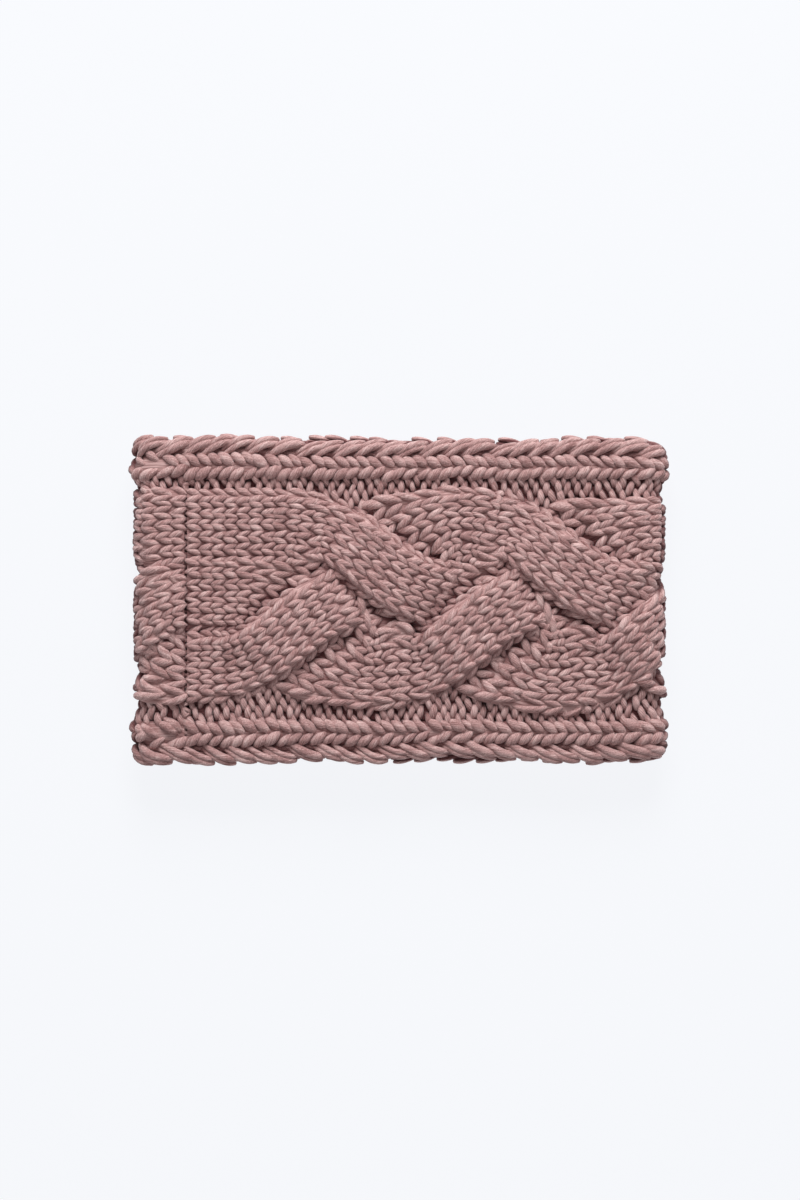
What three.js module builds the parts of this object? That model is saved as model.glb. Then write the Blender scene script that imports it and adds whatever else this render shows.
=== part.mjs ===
// Chunky knitted ear warmer headband with a three-strand plait, lying flat as a folded loop.
// Millimetres, +Z up, +X from fold to fold, the origin at the bottom centre of its box.
// A place on the band is (along, across, height): the distance round the loop from the seam,
// the place across the band, and the height above the fabric's inner face.
import * as THREE from 'three';

// Whole band
const FOLDED_WIDTH = 230;
const BAND_HEIGHT = 143;
const OPENING_GAP = 6.8;
const SEAM_FROM_FOLD = 23.8;
const REFERENCE_HEIGHT = 6;
const PIECE_GAP = 0.3;
const FLOOR_FLAT = 0.6;

// Ground fabric
const GROUND_WALL = 2.6;
const GUTTER_WIDTH = 6;

// Plait strands
const LANE_PITCH = 30.9;
const PLAIT_OFFSET = 1.3;
const STRAND_WIDTH = 28.5;
const STRAND_THICKNESS = 4;
const STRAND_EDGE = 1.5;
const STRAND_SQUEEZE = 0.2;
const OVER_LENGTH = 74;
const UNDER_LENGTH = 50;
const UNDER_LAG = 18;
const CROSSING_CLEARANCE = 0.9;
const LIFT_RAMP = 2.6;
const LIFT_MARGIN = 2.4;
const SHORTEST_FADE = 3;
const LONGEST_FADE = 10;
const TOP_LANE_REACH = 3.2;
const TOP_LANE_START = 7;
const TOP_LANE_RAMP = 14;
const SPREAD_START = 0.4;
const SPREAD_END = 0.9;

// Borders
const BORDER_WIDTH = 19.6;
const BORDER_THICKNESS = 6.4;
const EDGE_DROOP = 1;
const FOLD_PULL = 6;
const CORNER_LENGTH = 11;

// Seam
const SEAM_YARN_WIDTH = 2.2;
const SEAM_YARN_HEIGHT = 3.6;

// How finely the solids are faceted
const SECTION_STEP = 5.2;
const BORDER_STEP = 13;
const FOLD_STEPS = 8;
const SEAM_STEPS = 14;

const YARN_COLOUR = 0xa87f7c;
const SEAM_COLOUR = 0x9c7471;

// Worked out from the sizes above
const gapRadius = OPENING_GAP / 2;
const groundTop = GROUND_WALL + PIECE_GAP;
const halfStrand = STRAND_WIDTH / 2;
const underThickness = STRAND_THICKNESS * (1 - STRAND_SQUEEZE);
const strandCrest = groundTop + underThickness + CROSSING_CLEARANCE + STRAND_THICKNESS;
const halfStraight = FOLDED_WIDTH / 2 - gapRadius - strandCrest;
const edgeReach = strandCrest - BORDER_THICKNESS;
const seamFromCentre = FOLDED_WIDTH / 2 - SEAM_FROM_FOLD;
const groundHalf = BAND_HEIGHT / 2 - BORDER_WIDTH - PIECE_GAP;
const middleHeight = gapRadius + strandCrest - FLOOR_FLAT;
const foldLength = Math.PI * (gapRadius + REFERENCE_HEIGHT);
const loopLength = 4 * halfStraight + 2 * foldLength;
const seamClear = SEAM_YARN_WIDTH / 2 + PIECE_GAP;
const sideBySide = LANE_PITCH - STRAND_WIDTH;

// The plait's crossings round the loop. At a rise the bottom strand climbs over into the middle
// lane, and at a fall the top strand drops over into it, while the middle strand takes the lane
// left free. Places are shares of the loop, and swing is how far the strand that arrives in the
// outer lane bows outwards there, as a share of the lanes' pitch.
const CROSSINGS = [
  { kind: 'rise', at: 0.094, swing: 0.09 },
  { kind: 'fall', at: 0.1721, swing: 0.06 },
  { kind: 'rise', at: 0.2631, swing: 0.17 },
  { kind: 'fall', at: 0.3413, swing: -0.08 },
  { kind: 'rise', at: 0.4323, swing: 0.05 },
  { kind: 'fall', at: 0.508, swing: 0.08 },
  { kind: 'rise', at: 0.5965, swing: 0.09 },
  { kind: 'fall', at: 0.673, swing: 0.08 },
  { kind: 'rise', at: 0.762, swing: 0.09 },
  { kind: 'fall', at: 0.8385, swing: 0.05 },
  { kind: 'rise', at: 0.94, swing: 0 },
];
// Lanes at the seam, from the strands' first places: 1 is the top lane and -1 the bottom one.
const FIRST_LANES = [
  { lane: 1, swing: 0.03 },
  { lane: 0, swing: 0 },
  { lane: -1, swing: 0 },
];

// A border's section from the ground's edge outwards: a plump wale, a valley and the edge chain,
// as shares of the border's width and thickness.
const BORDER_SECTION = [
  { across: 0, height: 0.34 },
  { across: 0.1, height: 0.8 },
  { across: 0.3, height: 1 },
  { across: 0.5, height: 0.86 },
  { across: 0.62, height: 0.66 },
  { across: 0.76, height: 0.84 },
  { across: 0.92, height: 0.66 },
  { across: 1, height: 0.36 },
  { across: 0.94, height: 0.06 },
  { across: 0.7, height: 0 },
  { across: 0, height: 0 },
];
// How far each edge is drawn in along the loop, as shares of the border's width.
const EDGE_WAVES = [
  { at: 0, upper: 0.02, lower: 0.03 },
  { at: 0.05, upper: 0, lower: 0 },
  { at: 0.12, upper: 0.12, lower: 0.08 },
  { at: 0.17, upper: 0.12, lower: 0.02 },
  { at: 0.21, upper: 0.16, lower: 0.15 },
  { at: 0.26, upper: 0.08, lower: 0.17 },
  { at: 0.3, upper: 0.168, lower: 0.1 },
  { at: 0.36, upper: 0.08, lower: 0.08 },
  { at: 0.42, upper: 0.14, lower: 0.14 },
  { at: 0.5, upper: 0.04, lower: 0.02 },
  { at: 0.6, upper: 0.1, lower: 0.06 },
  { at: 0.7, upper: 0, lower: 0.02 },
  { at: 0.8, upper: 0, lower: 0.1 },
  { at: 0.92, upper: 0.02, lower: 0 },
  { at: 1, upper: 0.02, lower: 0.03 },
];

// Where the points of a strand's section stand, as shares of its half width.
const STRAND_UPPER_POINTS = [-1, -0.87, -0.56, -0.19, 0.19, 0.56, 0.87, 1];
const STRAND_LOWER_POINTS = [0.9, 0.55, 0.18, -0.18, -0.55, -0.9];

// 0 before low, 1 past high and a smooth S between them
function ease(value, low, high) {
  return THREE.MathUtils.smoothstep(value, low, high);
}

// The same with no jump in its bend
function smoothEase(value, low, high) {
  return THREE.MathUtils.smootherstep(value, low, high);
}

// 0 before low, 1 past high and a straight line between them
function ramp(value, low, high) {
  return THREE.MathUtils.clamp((value - low) / (high - low), 0, 1);
}

// The point in space of a place on the band
function bandPoint(along, across, height) {
  const fromMiddle = Math.abs(across);
  const droop = EDGE_DROOP * ramp(fromMiddle, groundHalf - GUTTER_WIDTH, BAND_HEIGHT / 2);
  const radius = gapRadius + height - droop;
  const rounded = gapRadius + REFERENCE_HEIGHT;
  const start = halfStraight - seamFromCentre;
  const run = THREE.MathUtils.euclideanModulo(along + start, loopLength);
  const straight = 2 * halfStraight;
  let x;
  let z;
  if (run < straight) {
    x = run - halfStraight;
    z = radius;
  } else if (run < straight + foldLength) {
    const angle = (run - straight) / rounded;
    x = halfStraight + radius * Math.sin(angle);
    z = radius * Math.cos(angle);
  } else if (run < 2 * straight + foldLength) {
    x = halfStraight - (run - straight - foldLength);
    z = -radius;
  } else {
    const angle = (run - 2 * straight - foldLength) / rounded;
    x = -halfStraight - radius * Math.sin(angle);
    z = -radius * Math.cos(angle);
  }
  // At the folds the thinner borders and the top lane, which is crossed by no strand there, reach
  // about as far out as the crossings, and the corners are drawn in.
  const nearEdge = ramp(fromMiddle, groundHalf - GUTTER_WIDTH, groundHalf);
  const inTopLane = ramp(across, TOP_LANE_START, TOP_LANE_START + TOP_LANE_RAMP);
  const reach = TOP_LANE_REACH * inTopLane * (1 - nearEdge) + (edgeReach + EDGE_DROOP) * nearEdge;
  const borderEnd = halfStraight + gapRadius + BORDER_THICKNESS - EDGE_DROOP;
  const nearFold = ramp(Math.abs(x), seamFromCentre + 2 * SEAM_YARN_WIDTH, borderEnd);
  x += Math.sign(x) * nearFold * reach;
  x = THREE.MathUtils.clamp(x, -FOLDED_WIDTH / 2, FOLDED_WIDTH / 2);
  const corner = THREE.MathUtils.clamp((Math.abs(x) - FOLDED_WIDTH / 2) / CORNER_LENGTH + 1, 0, 1);
  const pulled = ease(fromMiddle, groundHalf, BAND_HEIGHT / 2);
  const pull = FOLD_PULL * pulled * (1 - Math.sqrt(1 - corner * corner));
  return new THREE.Vector3(x, across - Math.sign(across) * pull, Math.max(0, middleHeight + z));
}

// Places along the loop where a piece has its sections: even steps on the straight stretches and
// the same few turns at each fold, from one side of the seam round to the other
function loopSections(step) {
  const foldStart = halfStraight + seamFromCentre;
  const backStart = foldStart + foldLength;
  const backEnd = backStart + 2 * halfStraight;
  const lastStart = backEnd + foldLength;
  const stretches = [
    { from: seamClear, to: foldStart, steps: Math.ceil((foldStart - seamClear) / step) },
    { from: foldStart, to: backStart, steps: FOLD_STEPS },
    { from: backStart, to: backEnd, steps: Math.ceil((backEnd - backStart) / step) },
    { from: backEnd, to: lastStart, steps: FOLD_STEPS },
    { from: lastStart, to: loopLength - seamClear, steps: Math.ceil((loopLength - lastStart) / step) },
  ];
  const places = [seamClear];
  for (const { from, to, steps } of stretches) {
    for (let index = 1; index <= steps; index += 1) {
      places.push(from + ((to - from) * index) / steps);
    }
  }
  return places;
}

// A closed body through rings of points, with flat caps at its two ends. The caps are cut from
// the ends' own outlines, given in two dimensions.
function loftedBody(rings, firstOutline, lastOutline) {
  const size = rings[0].length;
  const positions = rings.flat().flatMap((point) => point.toArray());
  const index = [];
  for (let row = 0; row < rings.length - 1; row += 1) {
    for (let column = 0; column < size; column += 1) {
      const next = (column + 1) % size;
      const a = row * size + column;
      const b = row * size + next;
      index.push(a, b, b + size, a, b + size, a + size);
    }
  }
  const last = (rings.length - 1) * size;
  for (const [a, b, c] of capTriangles(firstOutline)) index.push(a, c, b);
  for (const [a, b, c] of capTriangles(lastOutline)) index.push(last + a, last + b, last + c);
  const geometry = new THREE.BufferGeometry();
  geometry.setAttribute('position', new THREE.Float32BufferAttribute(positions, 3));
  geometry.setIndex(outwardFaces(positions, index));
  geometry.computeVertexNormals();
  return geometry;
}

// Triangles over an outline, turning the same way as the outline does
function capTriangles(outline) {
  const faces = THREE.ShapeUtils.triangulateShape(outline, []);
  const turn = Math.sign(THREE.ShapeUtils.area(outline));
  return faces.map(([a, b, c]) => {
    const area = Math.sign(THREE.ShapeUtils.area([outline[a], outline[b], outline[c]]));
    return area === turn ? [a, b, c] : [a, c, b];
  });
}

// The same triangles, turned round if the body they close is inside out
function outwardFaces(positions, index) {
  const corners = [new THREE.Vector3(), new THREE.Vector3(), new THREE.Vector3()];
  let volume = 0;
  for (let start = 0; start < index.length; start += 3) {
    corners.forEach((corner, side) => corner.fromArray(positions, 3 * index[start + side]));
    volume += corners[0].dot(corners[1].cross(corners[2]));
  }
  if (volume > 0) return index;
  const turned = [];
  for (let start = 0; start < index.length; start += 3) {
    turned.push(index[start], index[start + 2], index[start + 1]);
  }
  return turned;
}

// A body that runs along the loop, from a function that gives its section's outline at a place
function loopBody(places, outlineAt) {
  const outlines = places.map(outlineAt);
  const rings = outlines.map((outline, row) =>
    outline.map((point) => bandPoint(places[row], point.x, point.y)));
  return loftedBody(rings, outlines[0], outlines[outlines.length - 1]);
}

// Follows the plait round the loop: each strand's changes of lane, its bows in the outer lanes,
// and which of two strands is on top where they cross
function plaitRoutes() {
  const strands = FIRST_LANES.map(({ lane, swing }) => ({
    firstLane: lane,
    lane,
    moves: [],
    stays: [{ from: -OVER_LENGTH / 2, lane, swing }],
  }));
  const meetings = [];
  for (const { kind, at, swing } of CROSSINGS) {
    const place = at * loopLength;
    const outer = kind === 'rise' ? -1 : 1;
    const over = strands.findIndex((strand) => strand.lane === outer);
    const under = strands.findIndex((strand) => strand.lane === 0);
    strands[over].moves.push({ place, change: -outer, isOver: true });
    strands[over].stays[strands[over].stays.length - 1].to = place;
    strands[over].stays.push({ from: place, lane: 0, swing: 0 });
    strands[over].lane = 0;
    strands[under].moves.push({ place, change: outer, isOver: false });
    strands[under].stays[strands[under].stays.length - 1].to = place;
    strands[under].stays.push({ from: place, lane: outer, swing });
    strands[under].lane = outer;
    meetings.push({ place, over, under });
  }
  for (const strand of strands) {
    strand.stays[strand.stays.length - 1].to = loopLength + OVER_LENGTH / 2;
  }
  return { strands, meetings };
}

const { strands: plaitStrands, meetings: plaitMeetings } = plaitRoutes();

// The lane that one edge of a strand keeps to. A strand that passes under changes lane out of
// sight, in a shorter stretch, and the edge that it leaves behind comes after.
function edgeLane(strand, along, side) {
  const { firstLane, moves } = plaitStrands[strand];
  let lane = firstLane;
  for (const { place, change, isOver } of moves) {
    const half = (isOver ? OVER_LENGTH : UNDER_LENGTH) / 2;
    const middle = place + (!isOver && side * change < 0 ? UNDER_LAG : 0);
    lane += change * smoothEase(along, middle - half, middle + half);
  }
  return lane;
}

// How steeply a strand climbs or falls where it passes over another
function strandSlope(strand, along) {
  let slope = 0;
  for (const { place, change, isOver } of plaitStrands[strand].moves) {
    const part = THREE.MathUtils.clamp((along - place) / OVER_LENGTH + 0.5, 0, 1);
    if (isOver) slope += (change * LANE_PITCH * 30 * (part * (1 - part)) ** 2) / OVER_LENGTH;
  }
  return slope;
}

// Where one edge of a strand lies across the band, from its lane, its bow and its half width,
// which is measured square to its course
function strandEdge(strand, along, side) {
  let bow = 0;
  for (const { from, to, lane: outer, swing } of plaitStrands[strand].stays) {
    const part = THREE.MathUtils.clamp((2 * (along - from)) / (to - from) - 1, -1, 1);
    bow += outer * swing * (1 - part * part) ** 2;
  }
  const half = halfStrand * Math.hypot(1, strandSlope(strand, along));
  return PLAIT_OFFSET + LANE_PITCH * (edgeLane(strand, along, side) + bow) + side * half;
}

// A strand's two edges across the band. In an outer lane its inner edge spreads to the strands
// beside it, so that no ground shows between them.
function strandSpan(strand, along) {
  const span = { low: strandEdge(strand, along, -1), high: strandEdge(strand, along, 1) };
  const lane = (edgeLane(strand, along, -1) + edgeLane(strand, along, 1)) / 2;
  const outer = ease(Math.abs(lane), SPREAD_START, SPREAD_END);
  const others = plaitStrands.map((_, other) => other).filter((other) => other !== strand);
  if (lane > 0) {
    const nextEdge = Math.max(...others.map((other) => strandEdge(other, along, 1)));
    span.low -= outer * Math.max(0, span.low - nextEdge - sideBySide);
  } else {
    const nextEdge = Math.min(...others.map((other) => strandEdge(other, along, -1)));
    span.high += outer * Math.max(0, nextEdge - span.high - sideBySide);
  }
  return span;
}

// Whether one strand passes over another near a place, from the nearest crossing of the two
function passesOver(strand, other, along) {
  let nearest = null;
  for (const meeting of plaitMeetings) {
    const pair = [meeting.over, meeting.under];
    const near = nearest === null || Math.abs(meeting.place - along) < Math.abs(nearest.place - along);
    if (pair.includes(strand) && pair.includes(other) && near) nearest = meeting;
  }
  return nearest !== null && nearest.over === strand;
}

// How far two strands lie on each other, and how fully, from 0 side by side to 1
function strandOverlap(strand, other, along) {
  const span = strandSpan(strand, along);
  const otherSpan = strandSpan(other, along);
  const overlap = Math.min(span.high, otherSpan.high) - Math.max(span.low, otherSpan.low);
  return { overlap, share: ease(overlap, -sideBySide, LIFT_RAMP - sideBySide) };
}

// Height of a strand's lower face: on the ground, or raised over the strand that it crosses
function strandFloor(strand, along, across) {
  let floor = groundTop;
  plaitStrands.forEach((_, other) => {
    if (other === strand || !passesOver(strand, other, along)) return;
    const { overlap, share } = strandOverlap(strand, other, along);
    const { low, high } = strandSpan(other, along);
    const fade = THREE.MathUtils.clamp(SHORTEST_FADE + overlap, SHORTEST_FADE, LONGEST_FADE);
    const aside = Math.max(low - across, across - high);
    const beside = 1 - ease(aside, LIFT_MARGIN, LIFT_MARGIN + fade);
    floor = Math.max(floor, groundTop + (underThickness + CROSSING_CLEARANCE) * share * beside);
  });
  return floor;
}

// Thickness of a strand, domed across its width and pressed flatter where another lies on it
function strandThickness(strand, along, part) {
  let pressed = 1;
  plaitStrands.forEach((_, other) => {
    if (other === strand || !passesOver(other, strand, along)) return;
    pressed = Math.min(pressed, 1 - STRAND_SQUEEZE * strandOverlap(strand, other, along).share);
  });
  return (STRAND_EDGE + (STRAND_THICKNESS - STRAND_EDGE) * (1 - part ** 4)) * pressed;
}

// One strand of the plait, from one side of the seam round to the other
function plaitStrand(strand) {
  return loopBody(loopSections(SECTION_STEP), (along) => {
    const { low, high } = strandSpan(strand, along);
    const centre = (low + high) / 2;
    const half = (high - low) / 2;
    const upper = STRAND_UPPER_POINTS.map((part) => {
      const across = centre + part * half;
      const top = strandFloor(strand, along, across) + strandThickness(strand, along, part);
      return new THREE.Vector2(across, top);
    });
    const lower = STRAND_LOWER_POINTS.map((part) => {
      const across = centre + part * half;
      return new THREE.Vector2(across, strandFloor(strand, along, across));
    });
    return [...upper, ...lower];
  });
}

// The ground fabric behind the plait, one strip round the loop
function knitGround() {
  const gutter = groundHalf - GUTTER_WIDTH;
  const topLane = [TOP_LANE_START, TOP_LANE_START + TOP_LANE_RAMP];
  const points = [-groundHalf, -gutter, ...topLane, gutter, groundHalf];
  const outer = points.map((across) => new THREE.Vector2(across, GROUND_WALL));
  const inner = points.map((across) => new THREE.Vector2(-across, 0));
  return loopBody(loopSections(loopLength), () => [...outer, ...inner]);
}

// How far an edge is drawn in at a place, smoothly between the rows of the table
function edgeWave(edge, along) {
  const share = along / loopLength;
  const next = Math.max(1, EDGE_WAVES.findIndex((row) => row.at >= share));
  const [before, after] = [EDGE_WAVES[next - 1], EDGE_WAVES[next]];
  return THREE.MathUtils.lerp(before[edge], after[edge], ease(share, before.at, after.at));
}

// One knitted border, its wale and edge chain, on the side of the band that the sign gives
function knitBorder(edge, side) {
  return loopBody(loopSections(BORDER_STEP), (along) => {
    const width = BORDER_WIDTH * (1 - edgeWave(edge, along));
    return BORDER_SECTION.map(({ across, height }) =>
      new THREE.Vector2(side * (groundHalf + PIECE_GAP + across * width), height * BORDER_THICKNESS));
  });
}

// The yarn that sews the band's two ends together, a narrow rib across the band in the seam
function seamYarn() {
  const half = SEAM_YARN_WIDTH / 2;
  const outline = [
    new THREE.Vector2(-half, 0),
    new THREE.Vector2(half, 0),
    new THREE.Vector2(half, SEAM_YARN_HEIGHT * 0.6),
    new THREE.Vector2(half / 2, SEAM_YARN_HEIGHT),
    new THREE.Vector2(-half / 2, SEAM_YARN_HEIGHT),
    new THREE.Vector2(-half, SEAM_YARN_HEIGHT * 0.6),
  ];
  const reach = BAND_HEIGHT / 2 - BORDER_WIDTH * 0.06;
  const rings = [];
  for (let step = 0; step <= SEAM_STEPS; step += 1) {
    const across = THREE.MathUtils.lerp(-reach, reach, step / SEAM_STEPS);
    rings.push(outline.map((point) => bandPoint(point.x, across, point.y)));
  }
  return loftedBody(rings, outline, outline);
}

const yarn = new THREE.MeshStandardMaterial({ color: YARN_COLOUR, roughness: 0.95, metalness: 0 });
const sewingYarn = new THREE.MeshStandardMaterial({ color: SEAM_COLOUR, roughness: 0.95, metalness: 0 });

const headband = new THREE.Group();

function addPiece(name, geometry, material) {
  const piece = new THREE.Mesh(geometry, material);
  piece.name = name;
  headband.add(piece);
}

addPiece('knit_ground', knitGround(), yarn);
addPiece('upper_border', knitBorder('upper', 1), yarn);
addPiece('lower_border', knitBorder('lower', -1), yarn);
plaitStrands.forEach((_, strand) => addPiece(`plait_strand_${strand + 1}`, plaitStrand(strand), yarn));
addPiece('seam_yarn', seamYarn(), sewingYarn);

export default headband;
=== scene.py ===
"""Chunky knitted ear warmer headband, stitch by stitch, lying flat as a folded loop.

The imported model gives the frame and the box. Every visible stitch is a length of yarn swept
along a loop curve, laid on the band's own coordinates: the distance round the loop from the
seam, the place across the band, and the height above the fabric's inner face. Lengths are in
metres, and sizes that a knitter would name are given in millimetres times MM.
"""
from __future__ import annotations

import logging
from dataclasses import dataclass, field
from enum import Enum

import bpy
import numpy as np
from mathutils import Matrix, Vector


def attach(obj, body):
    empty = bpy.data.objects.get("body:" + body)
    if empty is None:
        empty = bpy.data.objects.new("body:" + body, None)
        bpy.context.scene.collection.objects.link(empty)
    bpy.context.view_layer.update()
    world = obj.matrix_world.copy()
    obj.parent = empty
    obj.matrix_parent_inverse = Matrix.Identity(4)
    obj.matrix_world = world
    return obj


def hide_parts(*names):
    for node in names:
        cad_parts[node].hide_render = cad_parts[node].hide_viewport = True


LOG = logging.getLogger("headband")
MM = 0.001
ROOT_BODY = "root"
# Turn of the fibres round the yarn, in radians for each metre of yarn.
FIBRE_TWIST = 380.0
# A small step out of the fabric, which tells a yarn's section where up is.
STEP_OUT = 0.2 * MM
# How far the backings end short of the seam.
BACKING_CLEAR = 0.6 * MM

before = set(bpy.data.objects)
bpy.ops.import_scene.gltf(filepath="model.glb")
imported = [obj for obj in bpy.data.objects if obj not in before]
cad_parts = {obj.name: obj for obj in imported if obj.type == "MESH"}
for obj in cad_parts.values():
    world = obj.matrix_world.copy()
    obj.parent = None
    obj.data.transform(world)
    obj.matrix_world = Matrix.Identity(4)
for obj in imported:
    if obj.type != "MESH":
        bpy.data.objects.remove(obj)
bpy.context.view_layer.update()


class Side(Enum):
    """The band's two edges, with the sign of their side of the middle."""

    UPPER = 1
    LOWER = -1


class Crossing(Enum):
    """How two strands change places: the lane beside the middle that the upper one leaves."""

    RISE = -1
    FALL = 1


def smooth_step(value: np.ndarray, low: float, high: float) -> np.ndarray:
    """An S from 0 at low to 1 at high, 3t^2 - 2t^3.

    Args:
        value: Where it is wanted.
        low: Where it leaves 0.
        high: Where it reaches 1.

    Returns:
        The S at each value.
    """
    part = np.clip((value - low) / (high - low), 0.0, 1.0)
    return part * part * (3.0 - 2.0 * part)


def smoother_step(value: np.ndarray, low: float, high: float) -> np.ndarray:
    """An S with no jump in its bend, 6t^5 - 15t^4 + 10t^3.

    Args:
        value: Where it is wanted.
        low: Where it leaves 0.
        high: Where it reaches 1.

    Returns:
        The S at each value.
    """
    part = np.clip((value - low) / (high - low), 0.0, 1.0)
    return part**3 * (part * (6.0 * part - 15.0) + 10.0)


@dataclass(frozen=True)
class BandShape:
    """The folded loop that all the knitting lies on."""

    folded_width: float = 230.0 * MM
    band_height: float = 143.0 * MM
    opening_gap: float = 6.8 * MM
    seam_from_fold: float = 23.8 * MM
    reference_height: float = 6.0 * MM
    strand_crest: float = 11.0 * MM
    floor_flat: float = 0.6 * MM
    border_width: float = 19.6 * MM
    border_thickness: float = 6.4 * MM
    piece_gap: float = 0.3 * MM
    gutter_width: float = 6.0 * MM
    edge_droop: float = 1.0 * MM
    fold_pull: float = 6.0 * MM
    corner_length: float = 11.0 * MM
    stretch_start: float = 4.4 * MM
    top_lane_reach: float = 3.2 * MM
    top_lane_start: float = 7.0 * MM
    top_lane_ramp: float = 14.0 * MM
    low_lane_reach: float = 3.6 * MM
    low_lane_start: float = 30.0 * MM
    low_lane_ramp: float = 10.0 * MM
    fold_side: float = 14.0 * MM

    @property
    def gap_radius(self) -> float:
        """Half the opening, the folds' inner radius."""
        return self.opening_gap / 2.0

    @property
    def seam_from_centre(self) -> float:
        """From the middle to the seam."""
        return self.folded_width / 2.0 - self.seam_from_fold

    @property
    def half_straight(self) -> float:
        """From the middle to where the folds begin."""
        return self.folded_width / 2.0 - self.gap_radius - self.strand_crest

    @property
    def fold_length(self) -> float:
        """Length of a fold at the reference height."""
        return float(np.pi) * (self.gap_radius + self.reference_height)

    @property
    def loop_length(self) -> float:
        """Length of the loop at the reference height."""
        return 4.0 * self.half_straight + 2.0 * self.fold_length

    @property
    def ground_half(self) -> float:
        """Half the height of the ground fabric between the borders."""
        return self.band_height / 2.0 - self.border_width - self.piece_gap

    @property
    def middle_height(self) -> float:
        """Height of the opening's middle above the surface that the band rests on."""
        return self.gap_radius + self.strand_crest - self.floor_flat

    def place(self, along: np.ndarray, across: np.ndarray, height: np.ndarray) -> np.ndarray:
        """Points in space of places on the band.

        The loop is a stadium: two straight layers joined by half circles whose radius is the
        gap's half plus the height. Near the edges the layers droop towards each other. At the
        folds the borders and the outer lanes reach further out, and the corners are drawn in.

        Args:
            along: Distance round the loop from the seam.
            across: Place across the band, 0 in its middle.
            height: Height above the inner face.

        Returns:
            Points, with x, y and z in the last axis.
        """
        from_middle = np.abs(across)
        half = self.band_height / 2.0
        gutter = self.ground_half - self.gutter_width
        droop = self.edge_droop * smooth_step(from_middle, gutter, half)
        radius = self.gap_radius + height - droop
        straight = 2.0 * self.half_straight
        rounded = self.gap_radius + self.reference_height
        start = self.half_straight - self.seam_from_centre
        run = np.mod(along + start, self.loop_length)
        first_turn = np.clip((run - straight) / rounded, 0.0, np.pi)
        last_turn = np.clip((run - 2.0 * straight - self.fold_length) / rounded, 0.0, np.pi)
        turn = first_turn + last_turn
        front = np.clip(run, 0.0, straight)
        back = np.clip(run - straight - self.fold_length, 0.0, straight)
        x = -self.half_straight + front - back + radius * np.sin(turn)
        z = radius * np.cos(turn)
        near_edge = smooth_step(from_middle, gutter, self.ground_half)
        border_end = self.half_straight + self.gap_radius + self.border_thickness - self.edge_droop
        near_fold = smooth_step(np.abs(x), self.seam_from_centre + self.stretch_start, border_end)
        lane_end = self.top_lane_start + self.top_lane_ramp
        top_lane = smooth_step(across, self.top_lane_start, lane_end)
        edge_reach = self.strand_crest - self.border_thickness + self.edge_droop
        low_end = self.low_lane_start + self.low_lane_ramp
        low_lane = smooth_step(-across, self.low_lane_start, low_end)
        lane_reach = self.top_lane_reach * top_lane + self.low_lane_reach * low_lane
        reach = lane_reach * (1.0 - near_edge) + edge_reach * near_edge
        x = x + np.sign(x) * near_fold * reach
        limit = self.folded_width / 2.0
        corner = np.clip((np.abs(x) - limit) / self.corner_length + 1.0, 0.0, 1.0)
        pulled = smooth_step(from_middle, self.ground_half, half)
        pull = self.fold_pull * pulled * (1.0 - np.sqrt(1.0 - corner * corner))
        y = across - np.sign(across) * pull
        return np.stack([x, y, self.middle_height + z], axis=-1)

    def near_fold(self, along: np.ndarray) -> np.ndarray:
        """1 in the folds and 0 a little way along the layers, by the distance to a fold."""
        half = self.fold_length / 2.0
        start = self.half_straight - self.seam_from_centre
        to_middle = along + start - 2.0 * self.half_straight - half
        quarter = self.loop_length / 4.0
        distance = np.abs(np.mod(to_middle + quarter, 2.0 * quarter) - quarter)
        return 1.0 - smooth_step(distance, half, half + self.fold_side)


@dataclass(frozen=True)
class CrossingPlace:
    """One crossing of the plait: its kind, its place as a share of the loop, and how far the
    strand that arrives in the outer lane bows outwards there, as a share of the pitch."""

    kind: Crossing
    at: float
    swing: float


@dataclass(frozen=True)
class LaneStay:
    """A stretch in which a strand keeps one lane."""

    start: float
    end: float
    lane: int
    swing: float


@dataclass(frozen=True)
class LaneMove:
    """A strand's change from one lane to the next, over or under another strand."""

    place: float
    change: int
    is_over: bool


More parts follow.
